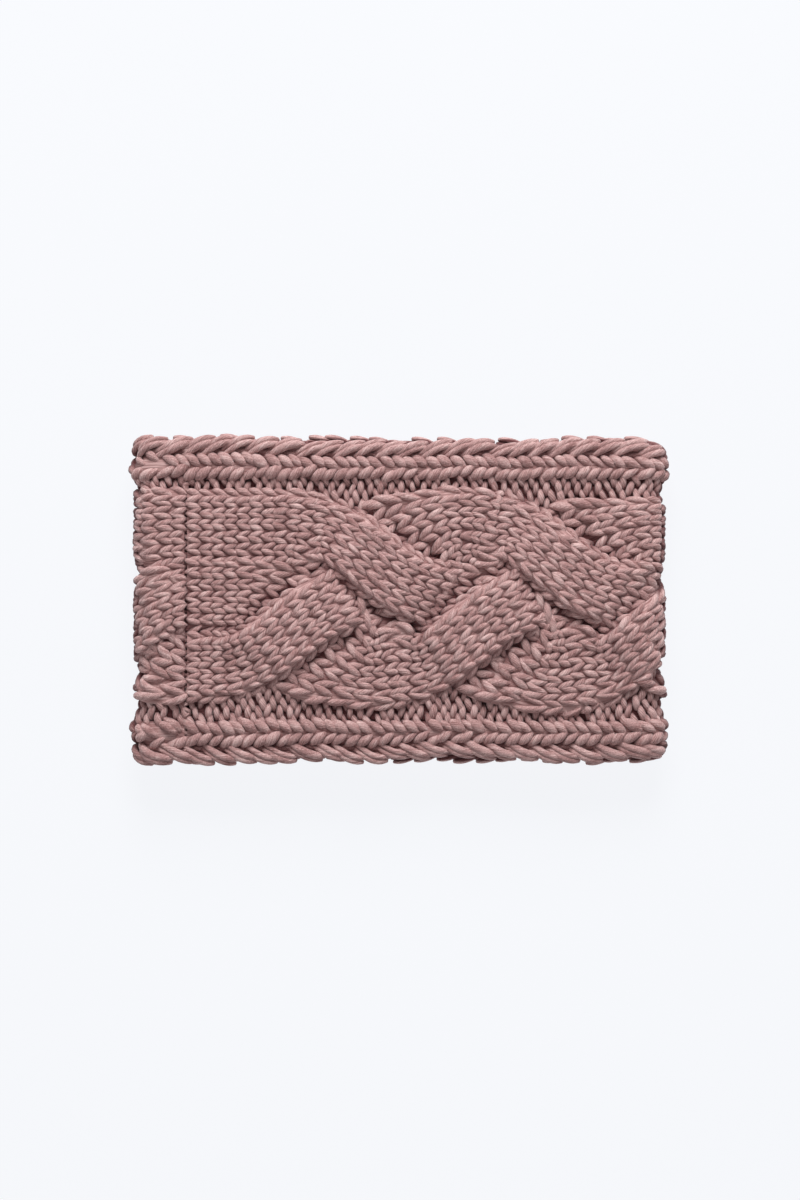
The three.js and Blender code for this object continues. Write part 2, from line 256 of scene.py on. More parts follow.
@dataclass
class PlaitPlan:
    """The three strands' courses round the loop, and which is on top where two cross."""

    shape: BandShape
    lane_pitch: float = 30.9 * MM
    offset: float = 1.3 * MM
    strand_width: float = 31.2 * MM
    thickness: float = 4.0 * MM
    squeeze: float = 0.45
    press_reach: float = 12.0 * MM
    over_rise: float = 3.3 * MM
    over_length: float = 74.0 * MM
    under_length: float = 46.0 * MM
    under_lag: float = 21.0 * MM
    ground_top: float = 2.9 * MM
    lift_start: float = -1.2 * MM
    lift_ramp: float = 9.0 * MM
    shortest_fade: float = 12.0 * MM
    longest_fade: float = 24.0 * MM
    fade_lead: float = 0.1
    seam_share: float = 0.55
    seam_fade: float = 26.0 * MM
    touch_gap: float = 3.0 * MM
    touch_share: float = 0.6
    first_slope: float = 0.02
    touch_slope: float = 0.2
    touch_end: float = 25.0 * MM
    touch_fade: float = 45.0 * MM
    spread_start: float = 0.35
    spread_end: float = 0.9
    softness: float = 1.4 * MM
    crossings: tuple[CrossingPlace, ...] = (
        CrossingPlace(Crossing.RISE, 0.094, 0.09),
        CrossingPlace(Crossing.FALL, 0.1721, 0.06),
        CrossingPlace(Crossing.RISE, 0.2631, 0.17),
        CrossingPlace(Crossing.FALL, 0.3413, -0.08),
        CrossingPlace(Crossing.RISE, 0.4323, 0.05),
        CrossingPlace(Crossing.FALL, 0.508, 0.08),
        CrossingPlace(Crossing.RISE, 0.5965, 0.09),
        CrossingPlace(Crossing.FALL, 0.673, 0.08),
        CrossingPlace(Crossing.RISE, 0.762, 0.09),
        CrossingPlace(Crossing.FALL, 0.8385, 0.05),
        CrossingPlace(Crossing.RISE, 0.94, 0.0),
    )
    first_lanes: tuple[int, ...] = (1, 0, -1)
    first_swings: tuple[float, ...] = (0.03, 0.0, 0.0)
    moves: list[list[LaneMove]] = field(default_factory=list)
    stays: list[list[LaneStay]] = field(default_factory=list)
    meetings: list[tuple[float, int, int]] = field(default_factory=list)

    def __post_init__(self) -> None:
        """Follows the crossings in order and notes every strand's changes of lane."""
        lanes = list(self.first_lanes)
        length = self.shape.loop_length
        half = self.over_length / 2.0
        open_stays = [(-half, lane, swing) for lane, swing in zip(lanes, self.first_swings)]
        self.moves = [[] for _ in lanes]
        self.stays = [[] for _ in lanes]
        for crossing in self.crossings:
            place = crossing.at * length
            outer = crossing.kind.value
            over = lanes.index(outer)
            under = lanes.index(0)
            for strand, lane, swing in ((over, 0, 0.0), (under, outer, crossing.swing)):
                start, old_lane, old_swing = open_stays[strand]
                self.moves[strand].append(LaneMove(place, lane - old_lane, strand == over))
                self.stays[strand].append(LaneStay(start, place, old_lane, old_swing))
                open_stays[strand] = (place, lane, swing)
                lanes[strand] = lane
            self.meetings.append((place, over, under))
        for strand, (start, lane, swing) in enumerate(open_stays):
            self.stays[strand].append(LaneStay(start, length + half, lane, swing))

    @property
    def beside(self) -> float:
        """The gap between two strands that lie side by side."""
        return self.lane_pitch - self.strand_width

    def edge_lane(self, strand: int, side: Side, along: np.ndarray) -> np.ndarray:
        """The lane that one edge of a strand keeps to, 1 at the top and -1 at the bottom.

        A strand that passes under changes lane out of sight, in a shorter stretch, and the
        edge that it leaves behind comes after.

        Args:
            strand: Which strand.
            side: Which of its edges.
            along: Distances round the loop.

        Returns:
            Lanes, with the parts between them while it moves.
        """
        lane = np.full_like(along, float(self.first_lanes[strand]))
        for move in self.moves[strand]:
            half = (self.over_length if move.is_over else self.under_length) / 2.0
            trails = not move.is_over and side.value * move.change < 0
            middle = move.place + (self.under_lag if trails else 0.0)
            lane = lane + move.change * smoother_step(along, middle - half, middle + half)
        return lane

    def over_slope(self, strand: int, along: np.ndarray) -> np.ndarray:
        """How steeply a strand runs where it passes over another, 30 t^2 (1 - t)^2 a lane."""
        slope = np.zeros_like(along)
        for move in self.moves[strand]:
            if move.is_over:
                part = np.clip((along - move.place) / self.over_length + 0.5, 0.0, 1.0)
                slope = slope + move.change * 30.0 * (part * (1.0 - part)) ** 2
        return slope * self.lane_pitch / self.over_length

    def bare_edge(self, strand: int, side: Side, along: np.ndarray) -> np.ndarray:
        """One edge of a strand, from its lane, its bow and its width square to its course."""
        bow = np.zeros_like(along)
        for stay in self.stays[strand]:
            part = np.clip(2.0 * (along - stay.start) / (stay.end - stay.start) - 1.0, -1.0, 1.0)
            bow = bow + stay.lane * stay.swing * (1.0 - part * part) ** 2
        half = self.strand_width / 2.0 * np.hypot(1.0, self.over_slope(strand, along))
        lane = self.edge_lane(strand, side, along)
        return self.offset + self.lane_pitch * (lane + bow) + side.value * half

    def span(self, strand: int, along: np.ndarray) -> tuple[np.ndarray, np.ndarray]:
        """A strand's two edges across the band.

        In an outer lane the inner edge spreads to the strands beside it, so that no ground
        shows between them: the gap g to the nearer of their edges is added as
        s log(1 + exp(g / s)) with s the softness.

        Args:
            strand: Which strand.
            along: Distances round the loop.

        Returns:
            The lower edge and the upper edge.
        """
        low = self.bare_edge(strand, Side.LOWER, along)
        high = self.bare_edge(strand, Side.UPPER, along)
        lane = self.lane(strand, along)
        outer = smooth_step(np.abs(lane), self.spread_start, self.spread_end)
        others = self.others(strand)
        soft = self.softness
        upper_edges = [self.bare_edge(other, Side.UPPER, along) for other in others]
        lower_edges = [-self.bare_edge(other, Side.LOWER, along) for other in others]
        below = soft * np.logaddexp(*[edges / soft for edges in upper_edges])
        above = -soft * np.logaddexp(*[edges / soft for edges in lower_edges])
        gap_below = (low - below - self.beside) / soft
        gap_above = (above - high - self.beside) / soft
        spread_low = outer * (lane > 0.0) * soft * np.logaddexp(0.0, gap_below)
        spread_high = outer * (lane < 0.0) * soft * np.logaddexp(0.0, gap_above)
        return low - spread_low, high + spread_high

    def lane(self, strand: int, along: np.ndarray) -> np.ndarray:
        """The lane of a strand's middle."""
        lower = self.edge_lane(strand, Side.LOWER, along)
        return (lower + self.edge_lane(strand, Side.UPPER, along)) / 2.0

    def middle_slope(self, strand: int, along: np.ndarray) -> np.ndarray:
        """How steeply a strand's middle runs, from a small step to both sides."""
        step = 0.5 * MM
        after = sum(self.span(strand, along + step)) / 2.0
        before = sum(self.span(strand, along - step)) / 2.0
        return (after - before) / (2.0 * step)

    def passes_over(self, strand: int, other: int, along: np.ndarray) -> np.ndarray:
        """1 where a strand passes over another, from the nearest crossing of the two.

        Args:
            strand: The one asked about.
            other: The one that it meets.
            along: Distances round the loop.

        Returns:
            1 where it is on top and 0 elsewhere.
        """
        pair = {strand, other}
        shared = [(place, over) for place, over, under in self.meetings if {over, under} == pair]
        places = np.array([place for place, _ in shared])
        on_top = np.array([over == strand for _, over in shared], dtype=float)
        nearest = np.argmin(np.abs(along[..., None] - places), axis=-1)
        return on_top[nearest]

    def cover(self, over: int, under: int, along: np.ndarray) -> tuple[np.ndarray, np.ndarray]:
        """How much one strand lies on another.

        It grows with the width that the two share. Where the upper one already slants and
        they only touch, it lies on the other's edge in part, but not close to the seam.

        Args:
            over: The strand asked about.
            under: The other one.
            along: Distances round the loop.

        Returns:
            The width that they share, and a share from 0 for beside or below to 1 for on top.
        """
        low, high = self.span(over, along)
        under_low, under_high = self.span(under, along)
        length = np.minimum(high, under_high) - np.maximum(low, under_low)
        lying = smooth_step(length, self.lift_start, self.lift_start + self.lift_ramp)
        slope = np.abs(self.over_slope(over, along))
        slanting = smooth_step(slope, self.first_slope, self.touch_slope)
        touching = self.touch_share * slanting * smooth_step(length, -self.touch_gap, 0.0)
        to_end = self.shape.loop_length - along
        touching = touching * smooth_step(to_end, self.touch_end, self.touch_end + self.touch_fade)
        return length, np.maximum(lying, touching) * self.passes_over(over, under, along)

    def others(self, strand: int) -> list[int]:
        """The other strands."""
        return [other for other in range(len(self.first_lanes)) if other != strand]

    def floor(self, strand: int, along: np.ndarray, across: np.ndarray) -> np.ndarray:
        """Height of a strand's underside: the ground, or raised over the strand below it.

        The rise comes with how much it lies on that strand, full over the lower one's width
        and fading smoothly beside it and towards the seam.

        Args:
            strand: Which strand.
            along: Distances round the loop.
            across: Places across the band.

        Returns:
            Heights above the inner face.
        """
        lift = np.zeros_like(across)
        to_end = self.shape.loop_length - along
        settled = self.seam_share + (1.0 - self.seam_share) * smooth_step(to_end, 0.0, self.seam_fade)
        for other in self.others(strand):
            length, share = self.cover(strand, other, along)
            low, high = self.span(other, along)
            fade = np.clip(self.shortest_fade + length, self.shortest_fade, self.longest_fade)
            aside = np.maximum(low - across, across - high)
            beside = 1.0 - smooth_step(aside / fade, -self.fade_lead, 1.0)
            lift = np.maximum(lift, self.over_rise * settled * share * beside)
        return self.ground_top + lift

    def pressed(self, strand: int, along: np.ndarray, across: np.ndarray) -> np.ndarray:
        """How much of its thickness a strand keeps under and close beside one that lies on it.

        Args:
            strand: Which strand.
            along: Distances round the loop.
            across: Places across the band.

        Returns:
            1 for all of it, and less where it is pressed. In the folds it isn't.
        """
        kept = np.ones_like(along)
        squeeze = self.squeeze * (1.0 - self.shape.near_fold(along))
        for other in self.others(strand):
            _, share = self.cover(other, strand, along)
            low, high = self.span(other, along)
            beside = 1.0 - smooth_step(np.maximum(low - across, across - high), 0.0, self.press_reach)
            kept = np.minimum(kept, 1.0 - squeeze * share * beside)
        return kept

    def edge(self, side: Side, along: np.ndarray) -> np.ndarray:
        """How far the plait reaches towards one of the band's edges."""
        strands = range(len(self.first_lanes))
        return np.max([side.value * self.bare_edge(strand, side, along) for strand in strands], axis=0)


@dataclass
class YarnMesh:
    """The parts of a mesh made of lengths of yarn, gathered piece by piece.

    TONE_TURN turns the fibres by a stitch's tone, and FIBRE_SHIFT moves each length of yarn on
    along the fibres, so that no two look alike.
    """

    TONE_TURN = 40.0
    FIBRE_SHIFT = 0.37

    points: list[np.ndarray] = field(default_factory=list)
    quads: list[np.ndarray] = field(default_factory=list)
    triangles: list[np.ndarray] = field(default_factory=list)
    fibres: list[np.ndarray] = field(default_factory=list)
    tones: list[np.ndarray] = field(default_factory=list)
    count: int = 0

    def add_yarn(self, path: np.ndarray, up: np.ndarray, radius: np.ndarray, tone: np.ndarray,
                 sides: int) -> None:
        """Adds lengths of yarn as closed tubes round their paths.

        Each ring is a circle of the yarn's radius square to the path. Its first direction
        starts at the surface's up and is carried along the path without turning. The fibre
        attribute is the place in the yarn as if it were untwisted: a circle turned by the
        twist, and the distance along the yarn.

        Args:
            path: Middle points, one row for each length of yarn.
            up: The surface's outward direction at each row's first point.
            radius: Radius at each middle point.
            tone: A tone for each length of yarn, 0 for plain.
            sides: Corners of the tube's section.
        """
        lengths, rings = path.shape[:2]
        tangent = np.gradient(path, axis=1)
        tangent /= np.linalg.norm(tangent, axis=-1, keepdims=True)
        normal = np.empty_like(path)
        carried = up
        for ring in range(rings):
            along = tangent[:, ring]
            carried = carried - np.sum(carried * along, axis=-1, keepdims=True) * along
            carried = carried / np.linalg.norm(carried, axis=-1, keepdims=True)
            normal[:, ring] = carried
        beside = np.cross(tangent, normal)
        angle = np.linspace(0.0, 2.0 * np.pi, sides, endpoint=False)
        circle = (normal[:, :, None] * np.cos(angle)[:, None]
                  + beside[:, :, None] * np.sin(angle)[:, None])
        tube = path[:, :, None] + radius[:, :, None, None] * circle
        step = np.linalg.norm(np.diff(path, axis=1), axis=-1)
        distance = np.concatenate([np.zeros((lengths, 1)), np.cumsum(step, axis=1)], axis=1)
        spun = FIBRE_TWIST * distance[:, :, None] + self.TONE_TURN * tone[:, None, None]
        turned = angle[None, None] + spun
        across = radius[:, :, None]
        shifted = distance + self.FIBRE_SHIFT * np.arange(lengths)[:, None]
        fibre = np.stack([across * np.cos(turned), across * np.sin(turned),
                          np.broadcast_to(shifted[:, :, None], turned.shape)], axis=-1)
        poles = path[:, [0, -1]]
        pole_fibre = np.zeros((lengths, 2, 3))
        pole_fibre[..., 2] = shifted[:, [0, -1]]
        size = rings * sides + 2
        base = self.count + size * np.arange(lengths)
        points = np.concatenate([tube.reshape(lengths, -1, 3), poles], axis=1)
        fibres = np.concatenate([fibre.reshape(lengths, -1, 3), pole_fibre], axis=1)
        self.points.append(points.reshape(-1, 3))
        self.fibres.append(fibres.reshape(-1, 3))
        self.tones.append(np.repeat(tone, size))
        self.quads.append(self._side_faces(rings, sides)[None] + base[:, None, None])
        self.triangles.append(self._end_faces(rings, sides)[None] + base[:, None, None])
        self.count += size * lengths

    @staticmethod
    def _side_faces(rings: int, sides: int) -> np.ndarray:
        """Quads between the rings of one tube."""
        ring, side = np.meshgrid(np.arange(rings - 1), np.arange(sides), indexing="ij")
        after = (side + 1) % sides
        a = ring * sides + side
        b = ring * sides + after
        return np.stack([a, b, b + sides, a + sides], axis=-1).reshape(-1, 4)

    @staticmethod
    def _end_faces(rings: int, sides: int) -> np.ndarray:
        """Triangles that close one tube's two ends on their middle points."""
        side = np.arange(sides)
        after = (side + 1) % sides
        first = rings * sides
        last = (rings - 1) * sides
        start = np.stack([np.full(sides, first), after, side], axis=-1)
        end = np.stack([np.full(sides, first + 1), last + side, last + after], axis=-1)
        return np.concatenate([start, end])

    def add_sheet(self, grid: np.ndarray, faces: np.ndarray, fibre: np.ndarray) -> None:
        """Adds a surface of quads given by its points and faces."""
        self.points.append(grid)
        self.quads.append(faces[None] + self.count)
        self.fibres.append(fibre)
        self.tones.append(np.zeros(len(grid)))
        self.count += len(grid)

    def add_backing(self, grid: np.ndarray, fibre: np.ndarray) -> None:
        """Adds an open surface given by a grid of points, which closes the gaps behind stitches.

        Args:
            grid: Points in rows and columns.
            fibre: The fibre attribute at each of them.
        """
        rows, columns = grid.shape[:2]
        row, column = np.meshgrid(np.arange(rows - 1), np.arange(columns - 1), indexing="ij")
        a = row * columns + column
        faces = np.stack([a, a + columns, a + columns + 1, a + 1], axis=-1).reshape(-1, 4)
        self.add_sheet(grid.reshape(-1, 3), faces, fibre.reshape(-1, 3))

    def build(self, name: str, relief: ShadeReliefMap) -> bpy.types.Object:
        """Makes the object, smooth, with its attributes.

        Args:
            name: The object's name.
            relief: The whole knitting's relief.

        Returns:
            The object, at the origin.
        """
        points = np.concatenate(self.points)
        quads = np.concatenate([faces.reshape(-1, 4) for faces in self.quads])
        triangles = [faces.reshape(-1, 3) for faces in self.triangles]
        corners = [quads.ravel()] + [faces.ravel() for faces in triangles]
        starts = [4 * np.arange(len(quads))]
        first = quads.size
        for faces in triangles:
            starts.append(first + 3 * np.arange(len(faces)))
            first += faces.size
        corner_list = np.concatenate(corners).astype(np.int32)
        start_list = np.concatenate(starts).astype(np.int32)
        mesh = bpy.data.meshes.new(name)
        mesh.vertices.add(len(points))
        mesh.vertices.foreach_set("co", points.astype(np.float32).ravel())
        mesh.loops.add(len(corner_list))
        mesh.loops.foreach_set("vertex_index", corner_list)
        mesh.polygons.add(len(start_list))
        mesh.polygons.foreach_set("loop_start", start_list)
        mesh.polygons.foreach_set("use_smooth", np.ones(len(start_list), dtype=bool))
        mesh.update(calc_edges=True)
        fibre = mesh.attributes.new("fibre", "FLOAT_VECTOR", "POINT")
        fibre.data.foreach_set("vector", np.concatenate(self.fibres).astype(np.float32).ravel())
        tone = mesh.attributes.new("tone", "FLOAT", "POINT")
        tone.data.foreach_set("value", np.concatenate(self.tones).astype(np.float32))
        # The rise attribute feeds the painted shade: how far each point stands out of the knitting round
        # it.
        rise = mesh.attributes.new("rise", "FLOAT", "POINT")
        rise.data.foreach_set("value", relief.stand(points).astype(np.float32))
        piece = bpy.data.objects.new(name, mesh)
        bpy.context.scene.collection.objects.link(piece)
        return piece


class ShadeReliefMap:
    """How far each place of the knitting stands out of the surface round it.

    Each layer has a grid over the band with the greatest height in each cell, measured from the opening's
    middle. Blurred by a bell curve, it gives the level that a place is compared with. The material paints
    shade into the yarn's colour where a place lies below this level. All sizes are in metres, but
    EDGE_LIFT, which is in millimetres.
    """

    CELL = 0.8 * MM
    BLUR = 2.4 * MM
    MARGIN = 4.0 * BLUR
    EDGE = 5.0 * MM
    EDGE_LIFT = 6.0

    def __init__(self, shape: BandShape, meshes: list[YarnMesh]) -> None:
        """Gathers the heights of all the meshes and blurs them.

        Args:
            shape: The band.
            meshes: The knitting's parts.
        """
        self.middle = shape.middle_height
        self.band_edge = shape.band_height / 2.0
        self.half = np.array([shape.folded_width, shape.band_height]) / 2.0 + self.MARGIN
        size = np.ceil(2.0 * self.half / self.CELL).astype(int) + 2
        heights = np.zeros((2, *size))
        for mesh in meshes:
            points = np.concatenate(mesh.points)
            layer, height = self._split(points)
            cell = np.rint(self._cells(points)).astype(int)
            np.maximum.at(heights, (layer, cell[:, 0], cell[:, 1]), height)
        for axis in (1, 2):
            beside = [np.roll(heights, step, axis=axis) for step in (-1, 1)]
            heights = np.where(heights > 0.0, heights, np.maximum(*beside))
        known = (heights > 0.0).astype(float)
        self.level = self._blurred(heights) / np.maximum(self._blurred(known), 1e-6)

    def _split(self, points: np.ndarray) -> tuple[np.ndarray, np.ndarray]:
        """Which layer each point is in, and its height from the opening's middle."""
        height = points[:, 2] - self.middle
        return (height > 0.0).astype(int), np.abs(height)

    def _cells(self, points: np.ndarray) -> np.ndarray:
        """Where points are on the grid, in cells."""
        return (points[:, :2] + self.half) / self.CELL

    def _blurred(self, grid: np.ndarray) -> np.ndarray:
        """A grid blurred along both its directions."""
        reach = np.arange(-3.0 * self.BLUR, 3.0 * self.BLUR + self.CELL / 2.0, self.CELL)
        bell = np.exp(-0.5 * (reach / self.BLUR) ** 2)
        for axis in (1, 2):
            grid = np.apply_along_axis(np.convolve, axis, grid, bell / bell.sum(), "same")
        return grid

    def stand(self, points: np.ndarray) -> np.ndarray:
        """How far points stand out of the level round them, in millimetres.

        Along the band's edges nothing lies beside them, and the edges' lift is added, so that they get no
        painted shade.

        Args:
            points: Points of the knitting.

        Returns:
            Heights above the level, between the grid's cells in proportion.
        """
        layer, height = self._split(points)
        cell = self._cells(points)
        low = np.floor(cell).astype(int)
        part = cell - low
        level = np.zeros(len(points))
        for right in (0, 1):
            for up in (0, 1):
                share = np.abs(1 - right - part[:, 0]) * np.abs(1 - up - part[:, 1])
                level += share * self.level[layer, low[:, 0] + right, low[:, 1] + up]
        from_edge = self.band_edge - np.abs(points[:, 1])
        at_edge = 1.0 - smooth_step(from_edge, 0.0, self.EDGE)
        return (height - level) / MM + self.EDGE_LIFT * at_edge


@dataclass(frozen=True)
class StitchForm:
    """One leg of a knit stitch as it shows on the front, a plump leaf of yarn.

    It comes up at its wale's boundary, runs to the wale's middle and goes down there under
    the next stitch. The two legs of a stitch mirror each other and make a V.
    """

    outer: float = 0.55
    inner: float = -0.02
    bulge: float = 0.035
    reach: float = 0.72
    crest: float = 1.4 * MM
    end_depth: float = 0.1 * MM
    leg_radius: float = 1.45 * MM
    end_share: float = 0.22
    rings: int = 9

    def leg(self) -> tuple[np.ndarray, ...]:
        """The leg's course from the boundary, p = -1, to the wale's middle, p = 1.

        Both the depth and the radius swell in between with 1 - p^2, so that the ends are
        pointed.

        Returns:
            Across in wale widths, growth in rows, depth and radius in metres.
        """
        part = np.linspace(-1.0, 1.0, self.rings)
        swell = 1.0 - part * part
        middle = (self.outer + self.inner) / 2.0
        across = middle - part * (self.outer - self.inner) / 2.0 + self.bulge * swell
        depth = self.end_depth + (self.crest - self.end_depth) * swell
        radius = self.leg_radius * (self.end_share + (1.0 - self.end_share) * swell)
        return across, -self.reach * part, depth, radius


@dataclass
class Jitter:
    """Hand-knitted unevenness, the same on every run."""

    LOOSE = 2.6

    seed: int
    place: float = 0.06
    size: float = 0.08
    tone: float = 0.5

    def __post_init__(self) -> None:
        """Starts the numbers from the seed."""
        self.numbers = np.random.default_rng(self.seed)

    def shifts(self, count: int) -> tuple[np.ndarray, np.ndarray]:
        """Small shifts across and along for a number of stitches."""
        pair = self.numbers.normal(0.0, self.place, (2, count, 1))
        return pair[0], pair[1]

    def loosened(self, shifts: np.ndarray, rows: np.ndarray, from_row: float) -> np.ndarray:
        """Shifts made larger past a row, where the knitting was cast on."""
        return shifts * np.where(rows > from_row, self.LOOSE, 1.0)

    def sizes(self, count: int) -> np.ndarray:
        """Factors near 1 for the stitches' plumpness."""
        return 1.0 + self.numbers.normal(0.0, self.size, (count, 1))

    def tones(self, count: int) -> np.ndarray:
        """Tones near 0 for the stitches' colour."""
        return self.numbers.normal(0.0, self.tone, count)


@dataclass
class PlaitStrandKnit:
    """One strand of the plait: six wales of knit stitches, rolled under at its edges.

    An edge starts to count as the plait's own in outer_lane, and a strand counts as the middle
    one between the two middle_lanes, with 0 the band's middle and 1 the outer lanes.
    """

    shape: BandShape
    plan: PlaitPlan
    strand: int
    stitch: StitchForm = StitchForm()
    first_seed: int = 11
    wales: int = 6
    row_pitch: float = 5.3 * MM
    first_row: float = 3.4 * MM
    roll_radius: float = 3.2 * MM
    steepest_roll: float = 1.5
    furthest_turn: float = 2.2
    least_roll: float = 0.01
    first_slope: float = 0.02
    full_slope: float = 0.35
    outer_lane: float = 0.5
    middle_lanes: tuple[float, float] = (0.8, 0.3)
    plain_end: float = 10.0 * MM
    plain_fade: float = 40.0 * MM
    crease_roll: float = 0.65
    crease_inset: float = 1.3 * MM
    crease_end: float = 22.0 * MM
    crease_fade: float = 24.0 * MM
    outer_roll: float = 0.6
    over_inset: float = 1.2 * MM
    outer_inset: float = 2.2 * MM
    steepest_row: float = 1.1
    top_to_middle: float = 2.4 * MM
    lowest: float = 1.5 * MM
    settling: float = 0.6 * MM
    seam_turn: float = 16.0 * MM
    backing_depth: float = 1.1 * MM
    backing_rows: int = 320
    backing_columns: int = 24
    backing_reach: float = 1.02
    sides: int = 8

    def rows(self) -> np.ndarray:
        """Places of the rows round the loop, from the seam to the seam."""
        stretch = self.shape.loop_length - 2.0 * self.first_row
        count = int(round(stretch / self.row_pitch))
        return self.first_row + stretch * np.arange(count + 1) / count

    def half_width(self, along: np.ndarray) -> np.ndarray:
        """Half the strand's width, square to its course."""
        low, high = self.plan.span(self.strand, along)
        return (high - low) / 2.0 / np.hypot(1.0, self.plan.over_slope(self.strand, along))

    def roll(self, along: np.ndarray, side: np.ndarray) -> tuple[np.ndarray, np.ndarray]:
        """How an edge rolls under where it passes over another strand or faces the gutter.

        Before the seam the upper edge meets the strand above it flat, without a roll. On both
        sides of the seam the middle strand's lower edge and the lower strand's upper edge roll
        under where they meet, which leaves a crease.

        Args:
            along: Distances round the loop.
            side: The edge's side, 1 or -1.

        Returns:
            How much it rolls, from 0 to 1, and how far in the roll starts.
        """
        slope = np.abs(self.plan.over_slope(self.strand, along))
        steep = smooth_step(slope, self.first_slope, self.full_slope)
        to_end = self.shape.loop_length - along
        before_seam = smooth_step(to_end, self.plain_end, self.plain_end + self.plain_fade)
        steep = np.where(side > 0.0, steep * before_seam, steep)
        lane = self.plan.lane(self.strand, along)
        outward = smooth_step(lane * side, self.outer_lane, 1.0)
        is_low = smooth_step(-lane, self.outer_lane, 1.0)
        first, last = self.middle_lanes
        is_middle = smooth_step(-np.abs(lane), -first, -last)
        faces = np.where(side > 0.0, is_low, is_middle)
        to_seam = np.minimum(along, to_end)
        away = smooth_step(to_seam, self.crease_end, self.crease_end + self.crease_fade)
        crease = faces * (1.0 - away) * (1.0 - steep)
        inset = self.over_inset * steep + self.outer_inset * outward * (1.0 - steep)
        inset = inset + self.crease_inset * crease
        return np.clip(steep + self.outer_roll * outward + self.crease_roll * crease, 0.0, 1.0), inset

    def lay(self, along: np.ndarray, part: np.ndarray, depth: np.ndarray) -> np.ndarray:
        """Points in space of places on the strand's own fabric.

        The fabric's rows are square to the strand's course, and near the seam they turn
        parallel to it. Past the flat part of its width the fabric turns under on a small
        radius r: at the angle a the place moves out by r sin a and down by r (1 - cos a), and
        what stands in front leans by the same angle.

        Args:
            along: Distance round the loop of the place's row.
            part: Place across the strand, -1 at its lower edge and 1 at its upper one.
            depth: Distance in front of the fabric's middle surface.

        Returns:
            Points, with x, y and z in the last axis.
        """
        side = np.sign(part)
        roll, inset = self.roll(along, side)
        fabric = self.half_width(along) - inset
        flat = fabric - self.roll_radius * self.steepest_roll * roll
        aside = np.abs(part) * fabric
        rolls = roll > self.least_roll
        turned = np.clip((aside - flat) / self.roll_radius, 0.0, self.furthest_turn) * rolls
        straight = np.where(rolls, np.minimum(aside, flat), aside)
        offset = side * (straight + (self.roll_radius + depth) * np.sin(turned))
        low, high = self.plan.span(self.strand, along)
        middle = (low + high) / 2.0
        slope = self.plan.middle_slope(self.strand, along)
        to_seam = np.minimum(along, self.shape.loop_length - along)
        slope = self.steepest_row * np.tanh(slope / self.steepest_row)
        slope = slope * smooth_step(to_seam, 0.0, self.seam_turn)
        scale = 1.0 / np.hypot(1.0, slope)
        place_along = along - offset * slope * scale
        place_across = middle + offset * scale
        floor = self.plan.floor(self.strand, place_along, place_across)
        top = floor + self.plan.thickness * self.plan.pressed(self.strand, place_along, place_across)
        drop = self.roll_radius * (1.0 - np.cos(turned))
        height = top - self.top_to_middle - drop + depth * np.cos(turned)
        above = (height - self.lowest) / self.settling
        height = self.lowest + np.logaddexp(0.0, above) * self.settling
        return self.shape.place(place_along, place_across, height)

    def add_backing(self, yarn: YarnMesh) -> None:
        """Adds the surface behind the stitches, from which only their legs stand out."""
        last = self.shape.loop_length - BACKING_CLEAR
        run = np.linspace(BACKING_CLEAR, last, self.backing_rows + 1)
        parts = np.linspace(-self.backing_reach, self.backing_reach, self.backing_columns + 1)
        along, part = np.meshgrid(run, parts, indexing="ij")
        depth = np.full(along.shape, self.backing_depth)
        grid = self.lay(along, part, depth)
        aside = part * self.plan.strand_width / 2.0
        yarn.add_backing(grid, np.stack([aside, depth, along], axis=-1))

    def knit(self) -> YarnMesh:
        """Knits the strand.

        Returns:
            The strand's mesh.
        """
        across, growth, depth, radius = self.stitch.leg()
        wales = np.arange(self.wales) - (self.wales - 1) / 2.0
        grids = np.meshgrid(self.rows(), wales, (-1.0, 1.0), indexing="ij")
        row, wale, half = (grid.reshape(-1, 1) for grid in grids)
        jitter = Jitter(seed=self.first_seed + self.strand)
        shift_across, shift_along = jitter.shifts(len(row))
        along = row - (growth[None] + shift_along) * self.row_pitch
        part = (wale + half * across[None] + shift_across) * 2.0 / self.wales
        plump = np.sqrt(self.half_width(row) * 2.0 / self.plan.lane_pitch)
        path = self.lay(along, part, depth[None] * plump)
        above = self.lay(along[:, :1], part[:, :1], depth[None, :1] * plump + STEP_OUT)[:, 0]
        yarn = YarnMesh()
        yarn.add_yarn(path, above - path[:, 0], radius[None] * plump * jitter.sizes(len(row)),
                      jitter.tones(len(row)), self.sides)
        self.add_backing(yarn)
        return yarn


